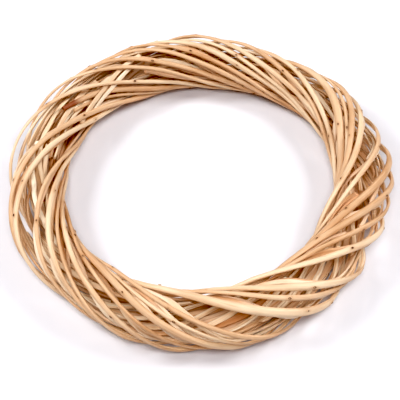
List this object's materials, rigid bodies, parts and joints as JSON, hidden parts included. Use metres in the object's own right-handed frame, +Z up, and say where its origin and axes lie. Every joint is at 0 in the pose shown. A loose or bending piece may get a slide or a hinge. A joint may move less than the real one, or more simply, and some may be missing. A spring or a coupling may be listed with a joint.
{
  "type": "wicker wreath",
  "caption": "Round wreath ring of split, peeled willow rods wound one way round a hollow core, loosely enough that the inner strips show through the gaps.",
  "frame": {"origin": "on the surface that the wreath lies on, under the middle of its box", "axes": "+Z up through the hole of the ring; +X to the right and +Y away in the view from the front"},
  "size_m": [0.2544, 0.2512, 0.0386],
  "materials": {
    "peeled_willow": "peeled bark side of a split willow rod, warm tan, satin to matt",
    "split_willow": "split face of a willow rod, pale cream with fine grain, matt"
  },
  "bodies": {
    "root": {"outer_rod_01": "peeled_willow", "outer_rod_02": "peeled_willow", "outer_rod_03": "peeled_willow", "outer_rod_04": "peeled_willow", "outer_rod_05": "peeled_willow", "outer_rod_06": "peeled_willow", "outer_rod_07": "peeled_willow", "outer_rod_08": "peeled_willow", "outer_rod_09": "peeled_willow", "outer_rod_10": "peeled_willow", "inner_strip_01": "split_willow", "inner_strip_02": "split_willow", "inner_strip_03": "split_willow", "inner_strip_04": "split_willow", "inner_strip_05": "split_willow", "inner_strip_06": "split_willow", "inner_strip_07": "split_willow", "inner_strip_08": "split_willow", "inner_strip_09": "split_willow", "inner_strip_10": "split_willow", "inner_strip_11": "split_willow", "inner_strip_12": "split_willow", "inner_strip_13": "split_willow", "inner_strip_14": "split_willow", "inner_strip_15": "split_willow", "inner_strip_16": "split_willow", "inner_strip_17": "split_willow", "crossing_strip_01": "split_willow", "crossing_strip_02": "split_willow", "crossing_strip_03": "split_willow"}
  },
  "joints": []
}
